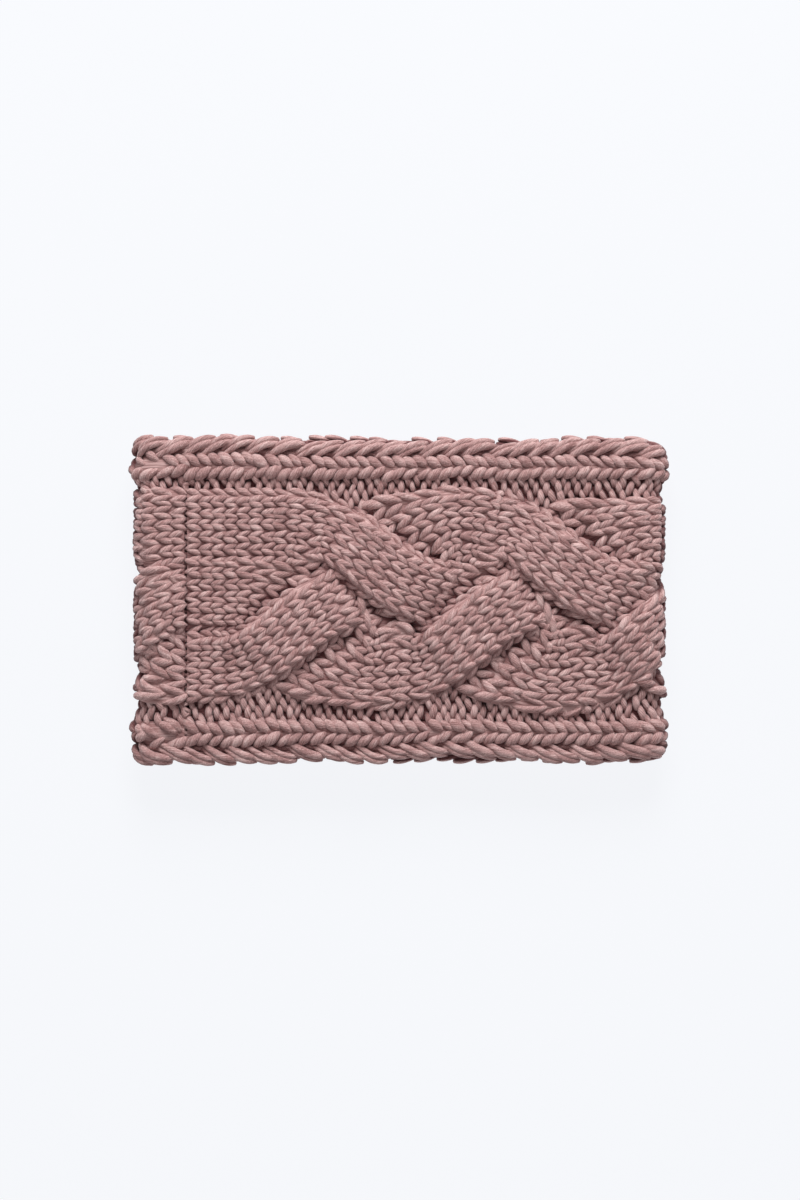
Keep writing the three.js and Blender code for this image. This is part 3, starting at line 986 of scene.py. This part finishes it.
@dataclass
class GutterKnit:
    """The purl bumps of the ground fabric that show between the plait and a border.

    They stand nearly upright in staggered lines along the band, each a short plump length of
    yarn that comes out of the ground and goes back into it.
    """

    shape: BandShape
    plan: PlaitPlan
    side: Side
    middle_seed: int = 31
    shift: float = 0.09
    unevenness: float = 0.1
    lines: int = 6
    line_pitch: float = 3.7 * MM
    bump_pitch: float = 4.4 * MM
    bump_reach: float = 3.4 * MM
    radius: float = 1.45 * MM
    foot_height: float = 1.8 * MM
    crest_height: float = 3.6 * MM
    end_share: float = 0.4
    leans: tuple[float, float] = (0.3, -0.1)
    lean_shift: float = 2.0
    hidden_margin: float = 4.0 * MM
    rings: int = 11
    sides: int = 8

    def knit(self) -> YarnMesh:
        """Knits the bumps, leaving out those that the plait hides.

        Returns:
            The gutter's mesh.
        """
        length = self.shape.loop_length
        count = int(round(length / self.bump_pitch))
        line, place = np.meshgrid(np.arange(self.lines), np.arange(count), indexing="ij")
        line, place = line.reshape(-1, 1), place.reshape(-1, 1)
        row = (place + 0.5 + 0.5 * (line % 2)) * length / count
        reach = self.shape.ground_half - line * self.line_pitch
        seen = (reach > self.plan.edge(self.side, row) - self.hidden_margin)[:, 0]
        line, row, reach = line[seen], row[seen], reach[seen]
        seed = self.middle_seed + self.side.value
        jitter = Jitter(seed, place=self.shift, size=self.unevenness)
        shift_across, shift_along = jitter.shifts(len(row))
        lean = np.where(line % 2 == 0, *self.leans) + self.lean_shift * shift_across
        part = np.linspace(-1.0, 1.0, self.rings)[None]
        across = self.side.value * (reach + shift_across * self.line_pitch) + part * self.bump_reach
        along = row + shift_along * self.bump_pitch - lean * part * self.bump_reach
        bulge = 1.0 - part * part
        height = self.foot_height + (self.crest_height - self.foot_height) * bulge
        height = np.broadcast_to(height, along.shape)
        path = self.shape.place(along, across, height)
        above = self.shape.place(along[:, :1], across[:, :1], height[:, :1] + STEP_OUT)[:, 0]
        radius = self.radius * (self.end_share + (1.0 - self.end_share) * np.sqrt(bulge))
        yarn = YarnMesh()
        yarn.add_yarn(path, above - path[:, 0], radius * jitter.sizes(len(row)),
                      jitter.tones(len(row)), self.sides)
        return yarn


@dataclass(frozen=True)
class EdgeWave:
    """How far an edge is drawn in at a share of the loop, as shares of the border's width."""

    at: float
    upper: float
    lower: float


EDGE_WAVES = (
    EdgeWave(0.0, 0.02, 0.03),
    EdgeWave(0.05, 0.0, 0.0),
    EdgeWave(0.12, 0.12, 0.08),
    EdgeWave(0.17, 0.12, 0.02),
    EdgeWave(0.21, 0.16, 0.15),
    EdgeWave(0.26, 0.08, 0.17),
    EdgeWave(0.3, 0.168, 0.1),
    EdgeWave(0.36, 0.08, 0.08),
    EdgeWave(0.42, 0.14, 0.14),
    EdgeWave(0.5, 0.04, 0.02),
    EdgeWave(0.6, 0.1, 0.06),
    EdgeWave(0.7, 0.0, 0.02),
    EdgeWave(0.8, 0.0, 0.1),
    EdgeWave(0.92, 0.02, 0.0),
    EdgeWave(1.0, 0.02, 0.03),
)


def edge_wave(side: Side, share: np.ndarray) -> np.ndarray:
    """How far an edge is drawn in, smoothly between the rows of the table.

    Args:
        side: Which edge.
        share: Places as shares of the loop.

    Returns:
        Shares of the border's width.
    """
    places = np.array([wave.at for wave in EDGE_WAVES])
    depths = np.array([wave.upper if side is Side.UPPER else wave.lower for wave in EDGE_WAVES])
    share = np.mod(share, 1.0)
    after = np.clip(np.searchsorted(places, share), 1, len(places) - 1)
    part = smooth_step((share - places[after - 1]) / (places[after] - places[after - 1]), 0.0, 1.0)
    return depths[after - 1] + part * (depths[after] - depths[after - 1])


@dataclass(frozen=True)
class LinkPoint:
    """A point of an edge chain's link: along in link lengths, outwards from the border's inner
    edge as a share of its width, height above the inner face, and radius."""

    along: float
    out: float
    height: float
    radius: float


@dataclass(frozen=True)
class LinkPly:
    """One of the yarn's two plies in a link: its shift from the link's points, and its size."""

    along: float
    out: float
    height: float
    size: float


@dataclass
class BorderKnit:
    """A border: one wide knit wale and the chain of links along the band's edge."""

    shape: BandShape
    side: Side
    stitch: StitchForm = StitchForm(reach=0.76, crest=1.6 * MM, leg_radius=1.95 * MM)
    middle_seed: int = 51
    shift: float = 0.1
    unevenness: float = 0.12
    wale_shift: float = 0.5
    link_shift: float = 0.3
    wale_middle: float = 0.27
    wale_width: float = 10.6 * MM
    row_pitch: float = 4.9 * MM
    wale_height: float = 3.9 * MM
    wale_crown: float = 1.6 * MM
    link_pitch: float = 9.2 * MM
    sides: int = 8
    link: tuple[LinkPoint, ...] = (
        LinkPoint(-0.35, 0.49, 1.4 * MM, 0.8 * MM),
        LinkPoint(-0.12, 0.53, 3.5 * MM, 1.2 * MM),
        LinkPoint(0.22, 0.64, 4.8 * MM, 1.55 * MM),
        LinkPoint(0.62, 0.75, 5.2 * MM, 1.65 * MM),
        LinkPoint(1.05, 0.81, 4.6 * MM, 1.5 * MM),
        LinkPoint(1.34, 0.81, 2.9 * MM, 1.2 * MM),
        LinkPoint(1.18, 0.8, 1.4 * MM, 1.2 * MM),
        LinkPoint(0.6, 0.74, 1.3 * MM, 1.2 * MM),
        LinkPoint(0.2, 0.6, 1.4 * MM, 1.0 * MM),
    )
    plies: tuple[LinkPly, ...] = (
        LinkPly(0.0, 0.0, 0.0, 1.0),
        LinkPly(-0.1, 0.1, -0.5 * MM, 0.85),
    )
    core_places: tuple[float, ...] = (0.6, 0.76)
    core_height: float = 2.3 * MM
    core_radius: float = 1.9 * MM
    core_clear: float = 1.5 * MM
    core_rings: int = 150
    backing_depth: float = 1.0 * MM
    backing_rows: int = 320
    backing_columns: int = 8
    link_rings: int = 22

    def out(self, along: np.ndarray, share: np.ndarray) -> np.ndarray:
        """Places across the band from shares of the border's width, drawn in by the wave."""
        inner = self.shape.ground_half + self.shape.piece_gap
        wave = 1.0 - edge_wave(self.side, along / self.shape.loop_length)
        return self.side.value * (inner + share * wave * self.shape.border_width)

    def sweep(self, yarn: YarnMesh, along: np.ndarray, share: np.ndarray, height: np.ndarray,
              radius: np.ndarray, jitter: Jitter) -> None:
        """Adds lengths of yarn given by places on the border.

        Args:
            yarn: The mesh that they join.
            along: Distances round the loop.
            share: Shares of the border's width from its inner edge.
            height: Heights above the inner face.
            radius: Radii of the yarn.
            jitter: The unevenness of the stitches' size and tone.
        """
        path = self.shape.place(along, self.out(along, share), height)
        first = along[:, :1]
        above = self.shape.place(first, self.out(first, share[:, :1]), height[:, :1] + STEP_OUT)[:, 0]
        count = len(along)
        yarn.add_yarn(path, above - path[:, 0], radius * jitter.sizes(count),
                      jitter.tones(count), self.sides)

    def add_wale(self, yarn: YarnMesh, jitter: Jitter) -> None:
        """Adds the wide wale of steep stitches, on a rounded crown.

        Args:
            yarn: The mesh that it joins.
            jitter: The stitches' unevenness.
        """
        across, growth, depth, radius = self.stitch.leg()
        count = int(round(self.shape.loop_length / self.row_pitch))
        rows = (np.arange(count) + 0.5) * self.shape.loop_length / count
        grids = np.meshgrid(rows, (-1.0, 1.0), indexing="ij")
        row, half = (grid.reshape(-1, 1) for grid in grids)
        shift_across, shift_along = jitter.shifts(len(row))
        cast_on = self.shape.loop_length - self.shape.seam_from_fold
        shift_across = jitter.loosened(shift_across, row, cast_on)
        shift_along = jitter.loosened(shift_along, row, cast_on)
        along = row - (growth[None] + shift_along) * self.row_pitch
        aside = half * across[None] + self.wale_shift * shift_across
        share = self.wale_middle + aside * self.wale_width / self.shape.border_width
        height = self.wale_height + depth[None] - self.wale_crown * (2.0 * aside) ** 2
        self.sweep(yarn, along, share, height, np.broadcast_to(radius, along.shape), jitter)

    def add_chain(self, yarn: YarnMesh, jitter: Jitter) -> None:
        """Adds the edge chain, each link a smooth curve through the link's points.

        Args:
            yarn: The mesh that it joins.
            jitter: The links' unevenness.
        """
        places = np.linspace(0.0, len(self.link) - 1.0, self.link_rings)
        along, out, height, radius = (
            smooth_through(np.array([getattr(point, name) for point in self.link]), places)
            for name in ("along", "out", "height", "radius")
        )
        count = int(round(self.shape.loop_length / self.link_pitch))
        pitch = self.shape.loop_length / count
        start = (np.arange(count) * pitch)[:, None]
        shift_out, shift_along = jitter.shifts(count)
        for ply in self.plies:
            run = start + (along[None] + ply.along + shift_along) * pitch
            share = out[None] + ply.out + self.link_shift * shift_out
            tall = np.broadcast_to(height + ply.height, run.shape)
            thick = np.broadcast_to(radius * ply.size, run.shape)
            self.sweep(yarn, run, share, np.maximum(tall, thick), thick, jitter)

    def add_backing(self, yarn: YarnMesh) -> None:
        """Adds the surface behind the wale's stitches, rounded like its crown."""
        last = self.shape.loop_length - BACKING_CLEAR
        run = np.linspace(BACKING_CLEAR, last, self.backing_rows + 1)
        aside = np.linspace(-0.5, 0.5, self.backing_columns + 1)
        along, aside = np.meshgrid(run, aside, indexing="ij")
        share = self.wale_middle + aside * self.wale_width / self.shape.border_width
        height = self.wale_height + self.backing_depth - self.wale_crown * (2.0 * aside) ** 2
        grid = self.shape.place(along, self.out(along, share), height)
        yarn.add_backing(grid, np.stack([share * self.shape.border_width, height, along], axis=-1))

    def add_core(self, yarn: YarnMesh, jitter: Jitter) -> None:
        """Adds the straight yarns inside the edge, which close the gaps under the chain.

        Args:
            yarn: The mesh that they join.
            jitter: The yarns' unevenness.
        """
        last = self.shape.loop_length - self.core_clear
        run = np.linspace(self.core_clear, last, self.core_rings)
        along = np.repeat(run[None], len(self.core_places), axis=0)
        share = np.repeat(np.array(self.core_places)[:, None], self.core_rings, axis=1)
        height = np.full(along.shape, self.core_height)
        self.sweep(yarn, along, share, height, np.full(along.shape, self.core_radius), jitter)

    def knit(self) -> YarnMesh:
        """Knits the border.

        Returns:
            The border's mesh.
        """
        seed = self.middle_seed + self.side.value
        jitter = Jitter(seed, place=self.shift, size=self.unevenness)
        yarn = YarnMesh()
        self.add_wale(yarn, jitter)
        self.add_chain(yarn, jitter)
        self.add_core(yarn, jitter)
        self.add_backing(yarn)
        return yarn


def smooth_through(values: np.ndarray, places: np.ndarray) -> np.ndarray:
    """A smooth curve through values at 0, 1, 2 and so on: a cubic between every two, with
    each point's slope half the difference of its neighbours.

    Args:
        values: What it passes through.
        places: Where it is wanted.

    Returns:
        The curve at each place.
    """
    slopes = np.gradient(values)
    before = np.clip(np.floor(places).astype(int), 0, len(values) - 2)
    t = places - before
    start, end = values[before], values[before + 1]
    leave, arrive = slopes[before], slopes[before + 1]
    return ((2 * t**3 - 3 * t**2 + 1) * start + (t**3 - 2 * t**2 + t) * leave
            + (3 * t**2 - 2 * t**3) * end + (t**3 - t**2) * arrive)


@dataclass
class SeamStitches:
    """The yarn that sews the ends together: slanting stitches down in the seam's groove."""

    shape: BandShape
    stitches: int = 28
    reach: float = 69.0 * MM
    half_width: float = 1.7 * MM
    height: float = 3.4 * MM
    depth: float = 1.0 * MM
    radius: float = 0.95 * MM
    rings_each: int = 10
    sides: int = 7

    def knit(self) -> YarnMesh:
        """Sews the seam as one long wave of yarn across the band.

        Returns:
            The seam's mesh.
        """
        rings = self.stitches * self.rings_each + 1
        part = np.linspace(0.0, 1.0, rings)[None]
        turn = 2.0 * np.pi * self.stitches * part
        across = self.reach * (2.0 * part - 1.0)
        along = self.half_width * np.sin(turn)
        height = self.height + self.depth * np.cos(2.0 * turn)
        path = self.shape.place(along, across, height)
        up = np.array([[0.0, 0.0, 1.0]])
        yarn = YarnMesh()
        radius = np.full(path.shape[:2], self.radius)
        yarn.add_yarn(path, up, radius, np.zeros(1), self.sides)
        return yarn


@dataclass
class GroundSheet:
    """The ground fabric behind the stitches: a thin strip folded round the loop."""

    shape: BandShape
    thickness: float = 2.3 * MM
    relief: float = 0.35 * MM
    row_pitch: float = 4.9 * MM
    wale_width: float = 4.3 * MM
    seam_clear: float = 1.4 * MM
    columns: int = 420
    rows: int = 80

    def knit(self) -> YarnMesh:
        """Makes the strip as a closed band of quads, its inner face in low knit relief.

        Returns:
            The strip's mesh.
        """
        length = self.shape.loop_length
        half = self.shape.ground_half
        run = np.linspace(self.seam_clear, length - self.seam_clear, self.columns + 1)
        wide = np.linspace(-half, half, self.rows + 1)
        across = np.concatenate([wide, wide[::-1]])
        outer = np.concatenate([np.ones(self.rows + 1), np.zeros(self.rows + 1)])
        along, place = np.meshgrid(run, across, indexing="ij")
        is_outer = np.broadcast_to(outer, along.shape)
        rows = np.sin(2.0 * np.pi * along / self.row_pitch)
        wales = np.cos(2.0 * np.pi * place / self.wale_width)
        height = np.where(is_outer > 0.5, self.thickness, self.relief * (1.0 + rows * wales))
        grid = self.shape.place(along, place, height)
        around = grid.shape[1]
        row, column = np.meshgrid(np.arange(self.columns), np.arange(around), indexing="ij")
        after = (column + 1) % around
        a = row * around + column
        b = row * around + after
        faces = np.stack([a, a + around, b + around, b], axis=-1).reshape(-1, 4)
        ends = []
        for first, turned in ((0, False), (self.columns * around, True)):
            low = first + np.arange(self.rows)
            high = first + around - 1 - np.arange(self.rows)
            cap = np.stack([low, low + 1, high - 1, high], axis=-1)
            ends.append(cap[:, ::-1] if turned else cap)
        faces = np.concatenate([faces, *ends])
        fibre = np.stack([place, height, along], axis=-1).reshape(-1, 3)
        sheet = YarnMesh()
        sheet.add_sheet(grid.reshape(-1, 3), faces, fibre)
        return sheet


class Value:
    """A shader socket on which Python's operators add Math nodes."""

    def __init__(self, sheet: NodeSheet, socket: bpy.types.NodeSocket) -> None:
        """Wraps a socket of a node sheet."""
        self.sheet = sheet
        self.socket = socket

    def _math(self, operation: str, first: Value | float, second: Value | float) -> Value:
        """Adds a Math node on two values."""
        return self.sheet.node("ShaderNodeMath", {"operation": operation}, {0: first, 1: second})

    def __add__(self, other: Value | float) -> Value:
        """Sum."""
        return self._math("ADD", self, other)

    __radd__ = __add__

    def __mul__(self, other: Value | float) -> Value:
        """Product."""
        return self._math("MULTIPLY", self, other)

    __rmul__ = __mul__


class NodeSheet:
    """The node tree of one material, written as expressions."""

    def __init__(self, name: str) -> None:
        """Starts a material with its shader and output."""
        self.material = bpy.data.materials.new(name)
        self.material.use_nodes = True
        self.tree = self.material.node_tree
        self.tree.nodes.clear()
        self.output = self.tree.nodes.new("ShaderNodeOutputMaterial")

    def node(self, kind: str, settings: dict[str, object], inputs: dict[int | str, object],
             output: int | str = 0) -> Value:
        """Adds a node.

        Args:
            kind: The node's type.
            settings: Its properties, set before its sockets.
            inputs: Values or links of its sockets, by index or name.
            output: The socket that is wanted.

        Returns:
            The wanted output.
        """
        node = self.tree.nodes.new(kind)
        for name, setting in settings.items():
            if name == "stops":
                self._set_stops(node, setting)
            else:
                setattr(node, name, setting)
        for key, value in inputs.items():
            if isinstance(value, Value):
                self.tree.links.new(value.socket, node.inputs[key])
            else:
                node.inputs[key].default_value = value
        return Value(self, node.outputs[output])

    @staticmethod
    def _set_stops(node: bpy.types.Node, stops: list[tuple[float, tuple[float, ...]]]) -> None:
        """Gives a colour ramp its stops."""
        elements = node.color_ramp.elements
        while len(elements) < len(stops):
            elements.new(0.5)
        for element, (position, colour) in zip(elements, stops):
            element.position = position
            element.color = colour


@dataclass(frozen=True)
class YarnFinish:
    """Matt, loosely spun yarn: streaks of fibre along it, paler on their ridges, and painted shade that
    makes it darker and redder where it lies low among the yarn round it.
    """

    name: str
    base: tuple[float, float, float] = (0.565, 0.326, 0.312)
    shade: tuple[float, float, float] = (0.295, 0.14, 0.133)
    light: tuple[float, float, float] = (0.86, 0.61, 0.58)
    # Painted shade: a darker, redder colour multiplied into the yarn where it lies low among the yarn
    # round it.
    hollow_shade_colour: tuple[float, float, float] = (0.32, 0.19, 0.2)
    # The painted shade starts at this rise, in millimetres, and is full at the next value.
    crest: float = 0.8
    hollow_shade: float = -1.7
    roughness: float = 0.92
    specular: float = 0.25
    sheen: float = 0.25
    sheen_roughness: float = 0.5
    stops: tuple[float, float, float] = (0.36, 0.5, 0.64)
    streak_share: float = 0.75
    cloud_share: float = 0.25
    tone_share: float = 0.03
    streak_detail: float = 3.0
    streak_roughness: float = 0.6
    cloud_scale: float = 160.0
    streak_width: float = 0.34 * MM
    streak_length: float = 9.0 * MM
    bump_depth: float = 0.45 * MM

    def build(self) -> bpy.types.Material:
        """Makes the material.

        Returns:
            The finished material.
        """
        sheet = NodeSheet(self.name)
        fibre = sheet.node("ShaderNodeAttribute", {"attribute_name": "fibre"}, {}, "Vector")
        tone = sheet.node("ShaderNodeAttribute", {"attribute_name": "tone"}, {}, "Fac")
        stretch = (1.0 / self.streak_width, 1.0 / self.streak_width, 1.0 / self.streak_length)
        place = sheet.node("ShaderNodeVectorMath", {"operation": "MULTIPLY"},
                           {0: fibre, 1: stretch}, "Vector")
        streaks = sheet.node("ShaderNodeTexNoise", {"noise_dimensions": "3D"},
                             {"Vector": place, "Scale": 1.0, "Detail": self.streak_detail,
                              "Roughness": self.streak_roughness}, "Fac")
        clouds = sheet.node("ShaderNodeTexNoise", {"noise_dimensions": "3D"}, {
            "Vector": fibre, "Scale": self.cloud_scale, "Detail": 1.0, "Roughness": 0.5}, "Fac")
        level = streaks * self.streak_share + clouds * self.cloud_share + tone * self.tone_share
        colours = [(*colour, 1.0) for colour in (self.shade, self.base, self.light)]
        colour = sheet.node("ShaderNodeValToRGB", {"stops": list(zip(self.stops, colours))},
                            {"Fac": level}, "Color")
        # Painted shade: where the rise attribute shows the yarn lying low among the yarn round it, in
        # creases, gaps and under the edges of strands on top, the colour is multiplied towards a darker,
        # redder shade.
        rise = sheet.node("ShaderNodeAttribute", {"attribute_name": "rise"}, {}, "Fac")
        hollow_shade = sheet.node("ShaderNodeMapRange", {"interpolation_type": "SMOOTHSTEP"}, {
            "Value": rise, "From Min": self.crest, "From Max": self.hollow_shade, "To Min": 0.0, "To Max": 1.0})
        colour = sheet.node("ShaderNodeMix", {"data_type": "RGBA", "blend_type": "MULTIPLY"}, {
            0: hollow_shade, 6: colour, 7: (*self.hollow_shade_colour, 1.0)}, 2)
        bump = sheet.node("ShaderNodeBump", {}, {"Strength": 1.0, "Distance": self.bump_depth,
                                                 "Height": streaks}, "Normal")
        shader = sheet.node("ShaderNodeBsdfPrincipled", {}, {
            "Base Color": colour, "Roughness": self.roughness, "Normal": bump,
            "Specular IOR Level": self.specular, "Sheen Weight": self.sheen,
            "Sheen Roughness": self.sheen_roughness}, "BSDF")
        sheet.tree.links.new(shader.socket, sheet.output.inputs["Surface"])
        return sheet.material


@dataclass(frozen=True)
class SoftLight:
    """A soft square light: its name, where it hangs, the length of its side, and its watts."""

    name: str
    place: tuple[float, float, float]
    size: float
    power: float


@dataclass(frozen=True)
class Studio:
    """The camera straight above the band, a pale lit floor and soft light from its upper side."""

    lens: float = 85.0
    sensor: float = 36.0
    view_height: float = 514.8 * MM
    focus_height: float = 16.0 * MM
    near_limit: float = 0.05
    aim: tuple[float, float] = (0.2 * MM, 0.0)
    floor_size: float = 4.0
    floor_tints: tuple[float, float] = (0.07, 0.08)
    floor_glow: tuple[float, float, float] = (0.865, 0.878, 0.908)
    floor_roughness: float = 0.9
    floor_specular: float = 0.1
    floor_cloud_scale: float = 3.0
    lights: tuple[SoftLight, ...] = (
        SoftLight("key", (0.05, 1.35, 0.9), 0.9, 28.0),
        SoftLight("fill", (-0.5, -1.0, 1.3), 1.2, 1.2),
    )
    world_colour: tuple[float, float, float] = (0.97, 0.98, 1.0)
    world_strength: float = 0.3

    def add_camera(self) -> None:
        """Sets the camera straight down, with the photo's field of view."""
        distance = self.view_height * self.lens / self.sensor
        data = bpy.data.cameras.new("photo_camera")
        data.lens = self.lens
        data.sensor_width = self.sensor
        data.sensor_fit = "AUTO"
        data.clip_start = self.near_limit
        camera = bpy.data.objects.new("photo_camera", data)
        camera.location = (*self.aim, self.focus_height + distance)
        bpy.context.scene.collection.objects.link(camera)
        bpy.context.scene.camera = camera

    def add_floor(self) -> None:
        """Lays the pale floor just under the band."""
        half = self.floor_size / 2.0
        mesh = bpy.data.meshes.new("floor")
        corners = [(-half, -half, 0.0), (half, -half, 0.0), (half, half, 0.0), (-half, half, 0.0)]
        mesh.from_pydata(corners, [], [(0, 1, 2, 3)])
        floor = bpy.data.objects.new("floor", mesh)
        bpy.context.scene.collection.objects.link(floor)
        sheet = NodeSheet("pale_floor")
        place = sheet.node("ShaderNodeTexCoord", {}, {}, "Object")
        cloud = sheet.node("ShaderNodeTexNoise", {},
                           {"Vector": place, "Scale": self.floor_cloud_scale}, "Fac")
        stops = [(end, (tint, tint, tint, 1.0)) for end, tint in enumerate(self.floor_tints)]
        colour = sheet.node("ShaderNodeValToRGB", {"stops": stops}, {"Fac": cloud}, "Color")
        shader = sheet.node("ShaderNodeBsdfPrincipled", {}, {
            "Base Color": colour, "Roughness": self.floor_roughness,
            "Specular IOR Level": self.floor_specular,
            "Emission Color": (*self.floor_glow, 1.0), "Emission Strength": 1.0}, "BSDF")
        sheet.tree.links.new(shader.socket, sheet.output.inputs["Surface"])
        mesh.materials.append(sheet.material)

    @staticmethod
    def add_light(soft: SoftLight) -> None:
        """Hangs a light so that it faces the band."""
        data = bpy.data.lights.new(soft.name, "AREA")
        data.shape = "SQUARE"
        data.size = soft.size
        data.energy = soft.power
        light = bpy.data.objects.new(soft.name, data)
        light.location = soft.place
        light.rotation_euler = Vector(soft.place).to_track_quat("Z", "Y").to_euler()
        bpy.context.scene.collection.objects.link(light)

    def add_world(self) -> None:
        """Gives the surroundings an even pale light."""
        world = bpy.data.worlds.new("studio")
        world.use_nodes = True
        background = world.node_tree.nodes["Background"]
        background.inputs["Color"].default_value = (*self.world_colour, 1.0)
        background.inputs["Strength"].default_value = self.world_strength
        bpy.context.scene.world = world

    def build(self) -> None:
        """Sets up the whole studio."""
        bpy.context.scene.view_settings.view_transform = "Standard"
        self.add_camera()
        self.add_floor()
        self.add_world()
        for soft in self.lights:
            self.add_light(soft)


@dataclass
class KnitPart:
    """A knitted part with the node that it stands for and its material slot."""

    node: str
    mesh: YarnMesh
    slot: str = "chunky_yarn"
    stands_in: bool = True

    def build(self, relief: ShadeReliefMap, material: bpy.types.Material) -> bpy.types.Object:
        """Makes the part's object and gives it its finish and its place in the frame.

        Args:
            relief: The whole knitting's relief.
            material: The part's finish.

        Returns:
            The finished object.
        """
        piece = self.mesh.build(f"{self.node}_knit", relief)
        piece.data.materials.append(material)
        if self.stands_in:
            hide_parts(self.node)
        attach(piece, ROOT_BODY)
        LOG.info("%s: %d faces", piece.name, len(piece.data.polygons))
        return piece


def main() -> None:
    """Builds the headband and its studio, in order."""
    logging.basicConfig(level=logging.INFO, format="%(name)s: %(message)s")
    shape = BandShape()
    plan = PlaitPlan(shape)
    Studio().build()
    yarn = YarnFinish("chunky_yarn").build()
    seam_yarn = YarnFinish("seam_yarn", base=(0.5, 0.29, 0.275)).build()
    parts = [
        KnitPart(f"plait_strand_{strand + 1}", PlaitStrandKnit(shape, plan, strand).knit())
        for strand in range(len(plan.first_lanes))
    ]
    for side in Side:
        edge = side.name.lower()
        parts.append(KnitPart(f"{edge}_border", BorderKnit(shape, side).knit()))
        parts.append(KnitPart(f"{edge}_gutter", GutterKnit(shape, plan, side).knit(), stands_in=False))
    parts.append(KnitPart("seam_yarn", SeamStitches(shape).knit(), slot="seam_yarn"))
    parts.append(KnitPart("knit_ground", GroundSheet(shape).knit()))
    relief = ShadeReliefMap(shape, [part.mesh for part in parts])
    finishes = {"chunky_yarn": yarn, "seam_yarn": seam_yarn}
    *pieces, ground = [part.build(relief, finishes[part.slot]) for part in parts]


if __name__ == "__main__":
    main()
